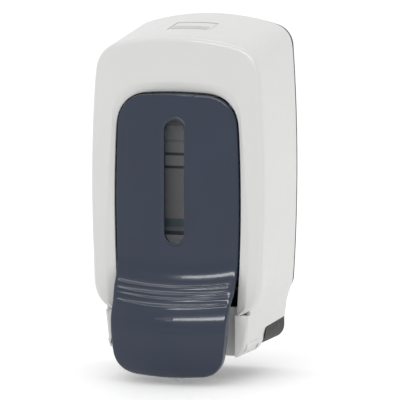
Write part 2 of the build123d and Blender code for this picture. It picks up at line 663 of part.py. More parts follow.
# Level sections of the lever's front: height, depth at the middle, and how far it falls back
# at the section's ends
SECTION_X = 50.0
LEVER_SECTIONS = [
    (72, -88.0, 6.2),
    (0, -88.2, 6.2),
    (-54, -88.0, 6.2),
    (-66, -88.8, 6.5),
    (-72, -90.8, 7.2),
    (-78, -95.4, 8.6),
    (-84, -102.2, 10.0),
    (-90, -108.2, 11.0),
    (-98, -111.8, 11.5),
    (-110, -112.6, 11.5),
    (-124, -110.8, 11.0),
    (-133, -106.8, 10.5),
    (-140, -99.0, 10.0),
]
LEVER_EAR_X = 29.0
LEVER_EAR_THICK = 6.0
LEVER_EAR_FRONT_Y = -83.6
BUSH_R = 4.0
LEVER_EAR_R = BUSH_R + 1.6
WINDOW_WIDE = 15.0
WINDOW_TALL = 89.0
WINDOW_Z = 1.5
RETAINER_SCREW_Z = (56.5, -53.5)
RETAINER_SCREW_R = 1.2
POST_FRONT_Y = -109.4  # the post stands on the inside of the pad
POST_BACK_Y = -100.2


def lever_envelope(shift):
    """Solid behind the lever's front surface, moved back by shift."""
    with BuildPart() as envelope:
        for z, middle, fall in LEVER_SECTIONS:
            y0 = middle + shift
            y1 = y0 + fall
            with BuildSketch(Plane.XY.offset(z)):
                with BuildLine():
                    ThreePointArc((-SECTION_X, y1), (0, y0), (SECTION_X, y1))
                    Polyline((SECTION_X, y1), (SECTION_X, -70), (-SECTION_X, -70), (-SECTION_X, y1))
                make_face()
        loft(ruled=True)
    return envelope.part


def lever_outline(inset):
    """The lever's outline seen from the front, drawn inset all round, as a deep prism."""
    with BuildPart() as prism:
        with BuildSketch(front_plane(-65)):
            with BuildLine():
                ThreePointArc((-22, 64.2), (0, 65), (22, 64.2))
                for s in (1, -1):
                    ThreePointArc((s * 22, 64.2), (s * 38.8, 57.6), (s * 45.4, 42))
                    ThreePointArc((s * 45.4, 42), (s * 47, -5), (s * 46, -60))
                    Line((s * 46, -60), (s * 44.4, -86))
                    ThreePointArc((s * 44.4, -86), (s * 43.7, -104), (s * 42, -120))
                    ThreePointArc((s * 42, -120), (s * 36.9, -132.4), (s * 22, -138))
                ThreePointArc((-22, -138), (0, -139), (22, -138))
            make_face()
            if inset:
                offset(amount=-inset, kind=Kind.INTERSECTION)
        extrude(amount=60)
    return prism.part


with BuildPart() as lever_hollow:
    add(lever_envelope(PANEL_WALL))
    add(lever_outline(PANEL_WALL), mode=Mode.INTERSECT)

with BuildPart() as push_lever:
    add(lever_envelope(0))
    add(lever_outline(0), mode=Mode.INTERSECT)
    add(lever_hollow.part, mode=Mode.SUBTRACT)
    # rear edge of the side walls
    add(side_prism([(-55, 80), (-79.6, 80), (-79.6, -66), (-88, -80), (-95.5, -88), (-96.5, -95),
                    (-96.5, PAST_FOOT_Z), (-55, PAST_FOOT_Z)], PAST_SIDE_X), mode=Mode.SUBTRACT)
    # raised rim round the window, and the slot through it
    with BuildSketch(front_plane(-85.5)):
        with Locations((0, WINDOW_Z)):
            SlotOverall(WINDOW_TALL + 4, WINDOW_WIDE + 4, rotation=90)
    extrude(amount=3.3)
    with BuildSketch(front_plane(-75)):
        with Locations((0, WINDOW_Z)):
            SlotOverall(WINDOW_TALL, WINDOW_WIDE, rotation=90)
    extrude(amount=20, mode=Mode.SUBTRACT)
    # ears on the rod
    for x0 in (LEVER_EAR_X, -LEVER_EAR_X - LEVER_EAR_THICK):
        with BuildSketch(side_plane(x0)):
            with Locations((AXLE_Y, AXLE_Z)):
                Circle(LEVER_EAR_R)
            with BuildLine():
                Polyline((AXLE_Y, AXLE_Z + LEVER_EAR_R), (LEVER_EAR_FRONT_Y, AXLE_Z + 3),
                         (LEVER_EAR_FRONT_Y, AXLE_Z - 14), (AXLE_Y, AXLE_Z - LEVER_EAR_R), close=True)
            make_face()
        extrude(amount=LEVER_EAR_THICK)
    add(rod_x(-40, 40, AXLE_Y, AXLE_Z, BUSH_R), mode=Mode.SUBTRACT)
    # post that carries the bumper
    add(block(-7, 7, POST_FRONT_Y, POST_BACK_Y, PUMP_Z - 4, PUMP_Z + 6))
    # screw holes of the lens frame
    for z in RETAINER_SCREW_Z:
        add(rod_y(-80, -86.6, 0, z, RETAINER_SCREW_R), mode=Mode.SUBTRACT)
finish(push_lever, "push_lever")

LENS_FRONT_Y = -84.6
LENS_BACK_Y = -83.2

with BuildPart() as window_lens:
    with BuildSketch(front_plane(LENS_BACK_Y)):
        with Locations((0, WINDOW_Z)):
            SlotOverall(WINDOW_TALL + 5, WINDOW_WIDE + 4, rotation=90)
    extrude(amount=LENS_BACK_Y - LENS_FRONT_Y)
finish(window_lens, "window_lens")

with BuildPart() as lens_retainer:
    add(block(-13, 13, LENS_BACK_Y, LENS_BACK_Y + 1.6, -58, 61))
    with BuildSketch(front_plane(LENS_BACK_Y)):
        with Locations((0, WINDOW_Z)):
            RectangleRounded(26, 102, 6)
    extrude(amount=1)
    with BuildSketch(front_plane(LENS_BACK_Y)):
        with Locations((0, WINDOW_Z)):
            SlotOverall(WINDOW_TALL + 5.4, WINDOW_WIDE + 4.4, rotation=90)
    extrude(amount=2, mode=Mode.SUBTRACT)
    with BuildSketch(front_plane(LENS_BACK_Y + 3)):
        with Locations((0, WINDOW_Z)):
            SlotOverall(WINDOW_TALL - 2, WINDOW_WIDE - 2, rotation=90)
    extrude(amount=6, mode=Mode.SUBTRACT)
    for z in RETAINER_SCREW_Z:
        add(rod_y(-80, -86, 0, z, RETAINER_SCREW_R + 0.2), mode=Mode.SUBTRACT)
finish(lens_retainer, "lens_retainer")

with BuildPart() as retainer_screws:
    for z in RETAINER_SCREW_Z:
        add(rod_y(-80.2, -86.4, 0, z, RETAINER_SCREW_R))
        add(rod_y(-80.4, -81.6, 0, z, 2 * RETAINER_SCREW_R))
finish(retainer_screws, "retainer_screws")

with BuildPart() as pusher_bumper:
    add(block(-7, 7, POST_BACK_Y, HEAD_FRONT_Y - 0.6, PUMP_Z - 4, PUMP_Z + 6))
    fillet(pusher_bumper.edges().filter_by(Axis.Y), 2)
finish(pusher_bumper, "pusher_bumper")

with BuildPart() as lever_bushes:
    ear_end_x = LEVER_EAR_X + LEVER_EAR_THICK
    for bush in both_sides(rod_x(LEVER_EAR_X - 0.5, ear_end_x + 0.5, AXLE_Y, AXLE_Z, BUSH_R)):
        add(bush)
    add(rod_x(-40, 40, AXLE_Y, AXLE_Z, AXLE_R + RUNNING_GAP), mode=Mode.SUBTRACT)
finish(lever_bushes, "lever_bushes")

with BuildPart() as lever_axle:
    add(rod_x(-54.5, 54.5, AXLE_Y, AXLE_Z, AXLE_R))
    chamfer(lever_axle.edges().filter_by(GeomType.CIRCLE), 0.5)
finish(lever_axle, "lever_axle")

with BuildPart() as axle_clips:
    for clip in both_sides(rod_x(52, 53, AXLE_Y, AXLE_Z, AXLE_R + 1.6)):
        add(clip)
    add(rod_x(-60, 60, AXLE_Y, AXLE_Z, AXLE_R), mode=Mode.SUBTRACT)
    add(block(-60, 60, AXLE_Y - 1.6, AXLE_Y + 1.6, AXLE_Z - 8, AXLE_Z), mode=Mode.SUBTRACT)
finish(axle_clips, "axle_clips")

with BuildPart() as lever_springs:
    for x0 in (37.2, -44.2):
        add(spring_x(x0, 7, AXLE_Y, AXLE_Z, 3.2, 0.45, 1.4))
finish(lever_springs, "lever_springs")

# ---- release tab -------------------------------------------------------------------------------

TAB_BACK_Y = -36.4
TAB_FRONT_Y = -58.2
TAB_X = 15.6
TAB_THICK = 2.9
TOP_SLOPE = (REAR_ARCH[0][1] - FRONT_ARCH[0][1]) / (COVER_BACK_Y - FRAME_Y)


def top_z(y):
    """Height of the cover's crown at depth y."""
    return REAR_ARCH[0][1] + TOP_SLOPE * (y - COVER_BACK_Y)


def tab_slab(y0, y1, half_width):
    """Slab that reaches from under the cover's crown to above it, between two depths."""
    return side_prism([(y0, top_z(y0) - TAB_THICK), (y0, top_z(y0) + TAB_THICK),
                       (y1, top_z(y1) + TAB_THICK), (y1, top_z(y1) - TAB_THICK)], half_width)


def under_crown(slab, rise):
    """The part of a slab below the cover's outside, which is raised by rise."""
    with BuildPart() as piece:
        add(slab)
        add(cover_outer.part.translate((0, 0, rise)), mode=Mode.INTERSECT)
    return piece.part


with BuildPart() as latch_button:
    # tab, flush with the cover's crown, and the grip ribs that stand proud of it
    add(under_crown(tab_slab(TAB_BACK_Y, TAB_FRONT_Y, TAB_X), -0.3))
    for y in (-50, -53, -56):
        add(under_crown(tab_slab(y + 0.6, y - 0.6, TAB_X - 2), 0.4))
    # lugs on the pin
    for x0 in (12, -15.4):
        with BuildSketch(side_plane(x0)):
            with Locations((LATCH_PIN_Y, LATCH_PIN_Z)):
                Circle(3)
            with BuildLine():
                Polyline((LATCH_PIN_Y - 3, LATCH_PIN_Z), (LATCH_PIN_Y - 3, 108.5), (LATCH_PIN_Y + 8, 109.5),
                         (LATCH_PIN_Y + 2.4, LATCH_PIN_Z - 1.8), close=True)
            make_face()
        extrude(amount=3.4)
    add(rod_x(-16, 16, LATCH_PIN_Y, LATCH_PIN_Z, 1.5 + RUNNING_GAP), mode=Mode.SUBTRACT)
    # arm that reaches back to the catch, with its hook
    add(block(-5, 5, -40.5, -37.5, 101.5, top_z(-40) - 1))
    add(block(-5, 5, -47, -10, 101.5, 103.8))
    add(block(-5, 5, -13, -10, 103, 104.3))
finish(latch_button, "latch_button")

with BuildPart() as latch_pin:
    add(rod_x(-20, 20, LATCH_PIN_Y, LATCH_PIN_Z, 1.5))
finish(latch_pin, "latch_pin")

with BuildPart() as latch_spring:
    add(spring_z(97.5, 3.5, -43.5, 2.8, 0.4, 1.2))
finish(latch_spring, "latch_spring")

os.makedirs("parts", exist_ok=True)
for piece in parts_made:
    export_step(piece, f"parts/{piece.label}.step")
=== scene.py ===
"""Looks of the wall mounted soap dispenser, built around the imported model.

The frame is in metres: wall at Y = 0, front towards -Y, +Z up. Shapes are drawn in millimetres and
scaled as they become meshes.
"""

import json
import math

import bmesh
import bpy
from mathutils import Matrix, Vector
from mathutils.geometry import delaunay_2d_cdt


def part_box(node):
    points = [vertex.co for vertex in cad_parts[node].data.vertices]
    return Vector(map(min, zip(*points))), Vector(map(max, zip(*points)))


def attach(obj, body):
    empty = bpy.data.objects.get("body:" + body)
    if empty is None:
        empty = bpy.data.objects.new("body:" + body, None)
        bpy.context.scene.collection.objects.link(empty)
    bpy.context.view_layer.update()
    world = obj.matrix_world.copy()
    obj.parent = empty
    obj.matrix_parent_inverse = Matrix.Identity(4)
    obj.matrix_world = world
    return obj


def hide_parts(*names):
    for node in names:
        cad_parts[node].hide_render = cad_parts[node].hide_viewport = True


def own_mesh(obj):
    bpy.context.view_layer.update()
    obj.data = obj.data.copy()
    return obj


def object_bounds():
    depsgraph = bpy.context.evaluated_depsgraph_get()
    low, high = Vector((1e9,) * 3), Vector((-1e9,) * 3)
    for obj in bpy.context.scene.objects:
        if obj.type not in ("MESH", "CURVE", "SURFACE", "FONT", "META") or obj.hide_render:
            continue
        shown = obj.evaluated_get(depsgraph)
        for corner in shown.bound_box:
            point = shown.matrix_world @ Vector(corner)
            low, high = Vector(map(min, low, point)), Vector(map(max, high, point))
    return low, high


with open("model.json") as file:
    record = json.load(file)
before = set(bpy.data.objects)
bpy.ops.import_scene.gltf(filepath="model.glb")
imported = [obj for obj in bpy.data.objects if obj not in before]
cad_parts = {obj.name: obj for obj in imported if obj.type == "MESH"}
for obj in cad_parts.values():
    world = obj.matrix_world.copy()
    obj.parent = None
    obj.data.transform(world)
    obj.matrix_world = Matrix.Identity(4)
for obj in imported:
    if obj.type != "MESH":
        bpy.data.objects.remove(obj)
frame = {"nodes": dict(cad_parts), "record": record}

cad_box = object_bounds()
nodes = frame["nodes"]
MM = 0.001

# ---- materials ---------------------------------------------------------------------------------


def new_material(name):
    """Material with a Principled shader, and the socket that gives places on the object."""
    material = bpy.data.materials.new(name)
    material.use_nodes = True
    tree = material.node_tree
    shader = tree.nodes["Principled BSDF"]
    place = tree.nodes.new("ShaderNodeTexCoord").outputs["Object"]
    return material, tree, shader, place


def noise(tree, place, scale, detail=2.0, stretch=(1, 1, 1)):
    """Noise texture's factor, with the space stretched along each axis."""
    mapping = tree.nodes.new("ShaderNodeMapping")
    mapping.inputs["Scale"].default_value = stretch
    texture = tree.nodes.new("ShaderNodeTexNoise")
    texture.inputs["Scale"].default_value = scale
    texture.inputs["Detail"].default_value = detail
    tree.links.new(place, mapping.inputs["Vector"])
    tree.links.new(mapping.outputs["Vector"], texture.inputs["Vector"])
    return texture.outputs["Fac"]


def ramp(tree, factor, stops, constant=False):
    """Colour ramp with (position, colour) stops."""
    node = tree.nodes.new("ShaderNodeValToRGB")
    node.color_ramp.interpolation = "CONSTANT" if constant else "LINEAR"
    elements = node.color_ramp.elements
    while len(elements) < len(stops):
        elements.new(0.5)
    for element, (position, colour) in zip(elements, stops):
        element.position = position
        element.color = (*colour, 1)
    tree.links.new(factor, node.inputs["Fac"])
    return node.outputs["Color"]


def spread(tree, factor, low, high):
    """Noise factor turned into a value between low and high."""
    node = tree.nodes.new("ShaderNodeMapRange")
    node.inputs["From Min"].default_value = 0.3
    node.inputs["From Max"].default_value = 0.7
    node.inputs["To Min"].default_value = low
    node.inputs["To Max"].default_value = high
    tree.links.new(factor, node.inputs["Value"])
    return node.outputs["Result"]


def bump(tree, height, depth, below=None):
    """Bump of the given depth in metres, on top of another one."""
    node = tree.nodes.new("ShaderNodeBump")
    node.inputs["Strength"].default_value = 1.0
    node.inputs["Distance"].default_value = depth
    tree.links.new(height, node.inputs["Height"])
    if below is not None:
        tree.links.new(below, node.inputs["Normal"])
    return node.outputs["Normal"]


def shade(colour, amount):
    """A colour made lighter or darker by a factor."""
    return tuple(min(1.0, channel * amount) for channel in colour)


def moulded(name, colour, rough, clouds=0.03, grain=1500, grain_depth=2e-6, coat=0.0, stretch=(1, 1, 1),
            specular=0.5):
    """Moulded plastic: faint flow clouds, uneven gloss, slow waviness and a fine surface grain."""
    material, tree, shader, place = new_material(name)
    flow = noise(tree, place, 22, 3)
    base = ramp(tree, flow, [(0.3, shade(colour, 1 - clouds)), (0.7, shade(colour, 1 + clouds))])
    tree.links.new(base, shader.inputs["Base Color"])
    gloss = spread(tree, noise(tree, place, 140, 3), rough * 0.88, rough * 1.12)
    tree.links.new(gloss, shader.inputs["Roughness"])
    waves = bump(tree, noise(tree, place, 60, 1), 6e-6)
    fine = bump(tree, noise(tree, place, grain, 2, stretch), grain_depth, waves)
    tree.links.new(fine, shader.inputs["Normal"])
    shader.inputs["Coat Weight"].default_value = coat
    shader.inputs["Coat Roughness"].default_value = 0.06
    shader.inputs["Specular IOR Level"].default_value = specular
    return material


def metal(name, colour, rough, scratch=(1, 1, 1), scale=900):
    """Plated or bare metal with fine drawn scratches and dull spots."""
    material, tree, shader, place = new_material(name)
    spots = noise(tree, place, 260, 4)
    base = ramp(tree, spots, [(0.3, shade(colour, 0.82)), (0.7, shade(colour, 1.08))])
    tree.links.new(base, shader.inputs["Base Color"])
    shader.inputs["Metallic"].default_value = 1.0
    lines = noise(tree, place, scale, 2, scratch)
    tree.links.new(spread(tree, lines, rough * 0.75, rough * 1.3), shader.inputs["Roughness"])
    tree.links.new(bump(tree, lines, 4e-6), shader.inputs["Normal"])
    return material


def translucent(name, colour, rough, through):
    """Unpigmented plastic or silicone that light passes into."""
    material = moulded(name, colour, rough, 0.02, 900, 3e-6)
    shader = material.node_tree.nodes["Principled BSDF"]
    shader.inputs["Subsurface Weight"].default_value = through
    shader.inputs["Subsurface Radius"].default_value = (0.004, 0.004, 0.0045)
    shader.inputs["Subsurface Scale"].default_value = 1.0
    return material


WHITE = (0.622, 0.622, 0.614)
SLATE = (0.023, 0.032, 0.055)
CHARCOAL = (0.034, 0.034, 0.037)

white_abs = moulded("white_abs", WHITE, 0.34, 0.012, 1300, 2.5e-6, 0.15)
slate_abs = moulded("slate_abs", SLATE, 0.17, 0.05, 1800, 0.8e-6, 0.15, specular=0.26)
slate_inner = moulded("slate_abs_inner", SLATE, 0.5, 0.06, 1500, 6e-6)
dark_abs = moulded("dark_abs", CHARCOAL, 0.6, 0.25, 900, 6e-5, 0.0, (1, 1, 0.3), specular=0.25)
natural_acetal = translucent("natural_acetal", (0.78, 0.78, 0.75), 0.42, 0.25)
bottle_hdpe = translucent("bottle_hdpe", (0.62, 0.66, 0.69), 0.38, 0.5)
silicone = translucent("silicone", (0.70, 0.72, 0.73), 0.3, 0.5)
rubber = moulded("rubber", (0.022, 0.022, 0.023), 0.62, 0.15, 1100, 2e-5)
steel = metal("steel", (0.56, 0.56, 0.58), 0.3)
spring_steel = metal("spring_steel", (0.46, 0.46, 0.48), 0.24, (1, 1, 6), 700)


def woven_mesh():
    """Stainless mesh: crossing wires in colour and relief."""
    material, tree, shader, place = new_material("mesh_steel")
    wires = tree.nodes.new("ShaderNodeTexWave")
    wires.inputs["Scale"].default_value = 1400
    wires.inputs["Distortion"].default_value = 0.4
    tree.links.new(place, wires.inputs["Vector"])
    base = ramp(tree, wires.outputs["Fac"], [(0.2, (0.22, 0.22, 0.23)), (0.8, (0.66, 0.66, 0.68))])
    tree.links.new(base, shader.inputs["Base Color"])
    tree.links.new(bump(tree, wires.outputs["Fac"], 4e-5), shader.inputs["Normal"])
    shader.inputs["Metallic"].default_value = 1.0
    shader.inputs["Roughness"].default_value = 0.35
    return material


def clear_lens():
    """Clear polycarbonate with faint haze."""
    material, tree, shader, place = new_material("clear_lens")
    haze = noise(tree, place, 55, 3)
    base = ramp(tree, haze, [(0.3, (0.04, 0.045, 0.05)), (0.7, (0.07, 0.075, 0.08))])
    tree.links.new(base, shader.inputs["Base Color"])
    tree.links.new(spread(tree, haze, 0.07, 0.11), shader.inputs["Alpha"])
    tree.links.new(spread(tree, noise(tree, place, 300, 2), 0.03, 0.07), shader.inputs["Roughness"])
    return material


# Plain bands of the refill's label, from the foot up: height in mm and colour
LABEL_BANDS = [
    (-43.0, (0.60, 0.60, 0.60)),
    (-39.6, (0.001, 0.030, 0.050)),
    (-36.6, (0.21, 0.22, 0.25)),
    (-33.6, (0.08, 0.13, 0.16)),
    (-27.6, (0.27, 0.27, 0.28)),
    (9.0, (0.030, 0.032, 0.040)),
    (11.0, (0.33, 0.34, 0.36)),
    (18.4, (0.030, 0.032, 0.040)),
    (20.6, (0.34, 0.35, 0.37)),
    (28.0, (0.24, 0.27, 0.31)),
    (30.0, (0.36, 0.37, 0.38)),
    (40.0, (0.22, 0.22, 0.22)),
    (46.0, (0.10, 0.10, 0.10)),
]
LABEL_SPAN = (-43.0, 63.0)


def label_film():
    """Label with plain bands across it, read from the height."""
    material, tree, shader, place = new_material("label_film")
    split = tree.nodes.new("ShaderNodeSeparateXYZ")
    tree.links.new(place, split.inputs["Vector"])
    height = tree.nodes.new("ShaderNodeMapRange")
    height.inputs["From Min"].default_value = LABEL_SPAN[0] * MM
    height.inputs["From Max"].default_value = LABEL_SPAN[1] * MM
    tree.links.new(split.outputs["Z"], height.inputs["Value"])
    length = LABEL_SPAN[1] - LABEL_SPAN[0]
    stops = [((z - LABEL_SPAN[0]) / length, colour) for z, colour in LABEL_BANDS]
    tree.links.new(ramp(tree, height.outputs["Result"], stops, True), shader.inputs["Base Color"])
    tree.links.new(spread(tree, noise(tree, place, 200, 3), 0.30, 0.42), shader.inputs["Roughness"])
    tree.links.new(bump(tree, noise(tree, place, 90, 2), 2e-5), shader.inputs["Normal"])
    return material


finishes = {
    "white_abs": white_abs, "slate_abs": slate_abs, "slate_abs_inner": slate_inner, "dark_abs": dark_abs,
    "clear_lens": clear_lens(), "bottle_hdpe": bottle_hdpe, "label_film": label_film(),
    "natural_acetal": natural_acetal, "silicone": silicone, "rubber": rubber, "steel": steel,
    "spring_steel": spring_steel, "mesh_steel": woven_mesh(),
}

for row in frame["record"]["subparts"]:
    node = nodes[row["node"]]
    node.data.materials.clear()
    node.data.materials.append(finishes[row["material_slot"]])

# ---- outlines ----------------------------------------------------------------------------------


def arc(start, middle, end, count):
    """Points along the arc through three points, without the last one."""
    (ax, az), (bx, bz), (cx, cz) = start, middle, end
    d = 2 * (ax * (bz - cz) + bx * (cz - az) + cx * (az - bz))
    if abs(d) < 1e-6:
        return [(ax + (cx - ax) * i / count, az + (cz - az) * i / count) for i in range(count)]
    a2, b2, c2 = ax * ax + az * az, bx * bx + bz * bz, cx * cx + cz * cz
    ox = (a2 * (bz - cz) + b2 * (cz - az) + c2 * (az - bz)) / d
    oz = (a2 * (cx - bx) + b2 * (ax - cx) + c2 * (bx - ax)) / d
    radius = math.hypot(ax - ox, az - oz)
    a0 = math.atan2(az - oz, ax - ox)
    turn_b = (math.atan2(bz - oz, bx - ox) - a0) % math.tau
    turn_c = (math.atan2(cz - oz, cx - ox) - a0) % math.tau
    if turn_b > turn_c:
        turn_c -= math.tau
    return [(ox + radius * math.cos(a0 + turn_c * i / count), oz + radius * math.sin(a0 + turn_c * i / count))
            for i in range(count)]


def eased(points, rounds, closed=False):
    """Points drawn towards their neighbours, which rounds off the joints between arcs."""
    for _ in range(rounds):
        moved = list(points)
        count = len(points)
        for i in range(0 if closed else 1, count if closed else count - 1):
            before, here, after = points[i - 1], points[i], points[(i + 1) % count]
            moved[i] = tuple(h * 0.5 + (b + a) * 0.25 for h, b, a in zip(here, before, after))
        points = moved
    return points


def whole(half):
    """Whole open outline from its right half: left foot, over the crown, to the right foot."""
    return [(-x, z) for x, z in reversed(half[1:])] + half


ARCH_STEPS = (22, 16, 34, 14)


def arch_line(arch):
    """Arched outline of the cover as a smooth open line of points."""
    apex, crown, shoulder, side_top, side, side_foot, corner, foot = arch
    across = arc((-crown[0], crown[1]), apex, crown, 2 * ARCH_STEPS[0])[ARCH_STEPS[0]:]
    half = across + arc(crown, shoulder, side_top, ARCH_STEPS[1])
    half += arc(side_top, side, side_foot, ARCH_STEPS[2])
    half += arc(side_foot, corner, foot, ARCH_STEPS[3]) + [foot]
    return eased(whole(half), 10)


# Right halves as (X, Z): apex, crown, shoulder, top of the side, side, foot of the side, corner, foot
REAR_ARCH = [
    (0, 119.3), (50, 112), (58.6, 106.4), (62.6, 96), (65.9, 3), (63.4, -76), (61.4, -81.5), (58.2, -86),
]
FRONT_ARCH = [
    (0, 105.8), (44, 100.6), (57.2, 93.6), (62.6, 80), (65.9, -2), (63.9, -67), (59.6, -87.0), (47.4, -94.2),
]
OPENING = [
    (0, 66.2), (23, 65.4), (40, 58.8), (46.7, 42), (48.2, -5), (47.2, -62), (46.3, -76), (45.4, -93.6),
]
SIDE_FOOT = 5  # index of the foot of the side in these outlines

FRAME_Y = -84.0
COVER_BACK_Y = -3.5
COVER_WALL = 2.6
FRAME_WALL = 4.2
FRONT_ROUND = 3.5
FOOT_ROUND = 0.7
FOOT_ROUND_POINTS = 11  # how many points from the foot the full radius starts
BEVEL_WIDTH = 7.0
BEVEL_DEPTH = 2.0

# Side of the lower body at the front and the rear, as two (X, Z) points each
FRONT_BODY_SIDE = [(55.4, -84), (53.0, -114)]
REAR_BODY_SIDE = [(60.4, -78), (55.7, -112)]
FLOW_END_Z = -99.0  # how far down the arch's side flows into the body's
FLOW_START_Y = -81.0
FLOW_FULL_Y = -60.0

front_line = arch_line(FRONT_ARCH)
rear_line = arch_line(REAR_ARCH)
opening_line = arch_line(OPENING)


def fade(value, start, end):
    """Falls smoothly from 1 at start to 0 at end."""
    t = max(0.0, min(1.0, (value - start) / (end - start)))
    return 1 - t * t * (3 - 2 * t)


def mixed(a, b, share):
    """Point part of the way from one point to another."""
    return tuple(p + (q - p) * share for p, q in zip(a, b))


def body_side(z, share):
    """Half-width of the lower body at a height, a share of the way from the front to the rear."""
    widths = [top[0] + (foot[0] - top[0]) * (top[1] - z) / (top[1] - foot[1])
              for top, foot in (FRONT_BODY_SIDE, REAR_BODY_SIDE)]
    return widths[0] + (widths[1] - widths[0]) * share


def flow_line(share):
    """Right-hand line from the arch's side down into the side of the lower body."""
    start = mixed(FRONT_ARCH[SIDE_FOOT], REAR_ARCH[SIDE_FOOT], share)
    corner = (body_side(-86, share) + 0.8, start[1] - 9.5)
    end = (body_side(FLOW_END_Z, share) - 0.3, FLOW_END_Z)
    handles = [start, (start[0] - 0.5, start[1] - 3.5), corner, corner, (end[0] + 0.6, end[1] + 5.0), end]
    line = []
    for i in range(ARCH_STEPS[3] + 1):
        t = i / ARCH_STEPS[3]
        points = handles
        while len(points) > 1:
            points = [mixed(a, b, t) for a, b in zip(points, points[1:])]
        line.append(points[0])
    return line


def normals(points, closed=False):
    """Unit normals, to the left of the line's direction."""
    found = []
    count = len(points)
    for i in range(count):
        before = points[i - 1] if closed or i else points[0]
        after = points[(i + 1) % count] if closed or i < count - 1 else points[-1]
        dx, dz = after[0] - before[0], after[1] - before[1]
        length = math.hypot(dx, dz)
        found.append((-dz / length, dx / length))
    return found


# ---- meshes ------------------------------------------------------------------------------------


def make_piece(name, points, faces, material, body, sharp=40.0):
    """Mesh object from points in millimetres, shaded smooth, that rides on a body."""
    mesh = bpy.data.meshes.new(name)
    mesh.from_pydata([(x * MM, y * MM, z * MM) for x, y, z in points], [], faces)
    work = bmesh.new()
    work.from_mesh(mesh)
    bmesh.ops.remove_doubles(work, verts=work.verts, dist=1e-6)
    bmesh.ops.recalc_face_normals(work, faces=work.faces)
    work.to_mesh(mesh)
    work.free()
    return finish_piece(name, mesh, material, body, sharp)


def finish_piece(name, mesh, material, body, sharp=40.0):
    """Object of a finished mesh."""
    mesh.polygons.foreach_set("use_smooth", [True] * len(mesh.polygons))
    mesh.set_sharp_from_angle(angle=math.radians(sharp))
    mesh.materials.clear()
    mesh.materials.append(material)
    piece = bpy.data.objects.new(name, mesh)
    bpy.context.scene.collection.objects.link(piece)
    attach(piece, body)
    return piece


def loft(rows, faces, points, close_rows=False, close_line=False):
    """Adds rows of points, with quads between neighbours, and returns each row's indices."""
    indices = []
    for row in rows:
        indices.append(list(range(len(points), len(points) + len(row))))
        points.extend(row)
    pairs = list(zip(indices, indices[1:]))
    if close_rows:
        pairs.append((indices[-1], indices[0]))
    for a, b in pairs:
        for i in range(len(a) if close_line else len(a) - 1):
            j = (i + 1) % len(a)
            faces.append((a[i], a[j], b[j], b[i]))
    return indices


# ---- cover -------------------------------------------------------------------------------------


def cover_row(y, inset):
    """Line round the cover at depth y, drawn inset from its outside."""
    share = (y - FRAME_Y) / (COVER_BACK_Y - FRAME_Y)
    line = [mixed(f, r, share) for f, r in zip(front_line, rear_line)]
    merge = 1 - fade(y, FLOW_START_Y, FLOW_FULL_Y)
    flow = flow_line(share)
    for i, (x, z) in enumerate(flow):
        k = len(line) - len(flow) + i
        line[k] = mixed(line[k], (x, z), merge)
        line[len(flow) - 1 - i] = mixed(line[len(flow) - 1 - i], (-x, z), merge)
    line = eased(line, 2)
    # the line runs clockwise seen from the front, so its left normal points outwards
    return [(x - nx * inset, y, z - nz * inset) for (x, z), (nx, nz) in zip(line, normals(line))]


def edge_round(k):
    """Radius of the front edge at one of the line's points: it gets small towards the arch's feet."""
    from_foot = min(k, len(front_line) - 1 - k)
    return FRONT_ROUND - (FRONT_ROUND - FOOT_ROUND) * fade(from_foot, 1, FOOT_ROUND_POINTS)


def round_row(turn):
    """Line round the cover's front edge, at an angle from the front face to the side."""
    row = cover_row(FRAME_Y + FRONT_ROUND * (1 - math.cos(turn)), 0)
    flat = [(x, z) for x, _, z in row]
    rounded = []
    for k, ((x, z), (nx, nz)) in enumerate(zip(flat, normals(flat))):
        inset = edge_round(k) * (1 - math.sin(turn))
        rounded.append((x - nx * inset, FRAME_Y + edge_round(k) * (1 - math.cos(turn)), z - nz * inset))
    return rounded


FRAME_SHARE = 0.75  # the bevel takes up at most this share of the frame's width


def opening_row(y, out):
    """Line round the opening at depth y, moved out towards the frame's edge."""
    row = []
    for (ox, oz), (edge_x, _, edge_z) in zip(opening_line, round_row(0)):
        gap = math.hypot(edge_x - ox, edge_z - oz)
        step = min(out, gap * FRAME_SHARE) / gap
        row.append((ox + (edge_x - ox) * step, y, oz + (edge_z - oz) * step))
    return row


def between(a, b, share):
    """Row part of the way from one row to another."""
    return [tuple(p + (q - p) * share for p, q in zip(u, v)) for u, v in zip(a, b)]


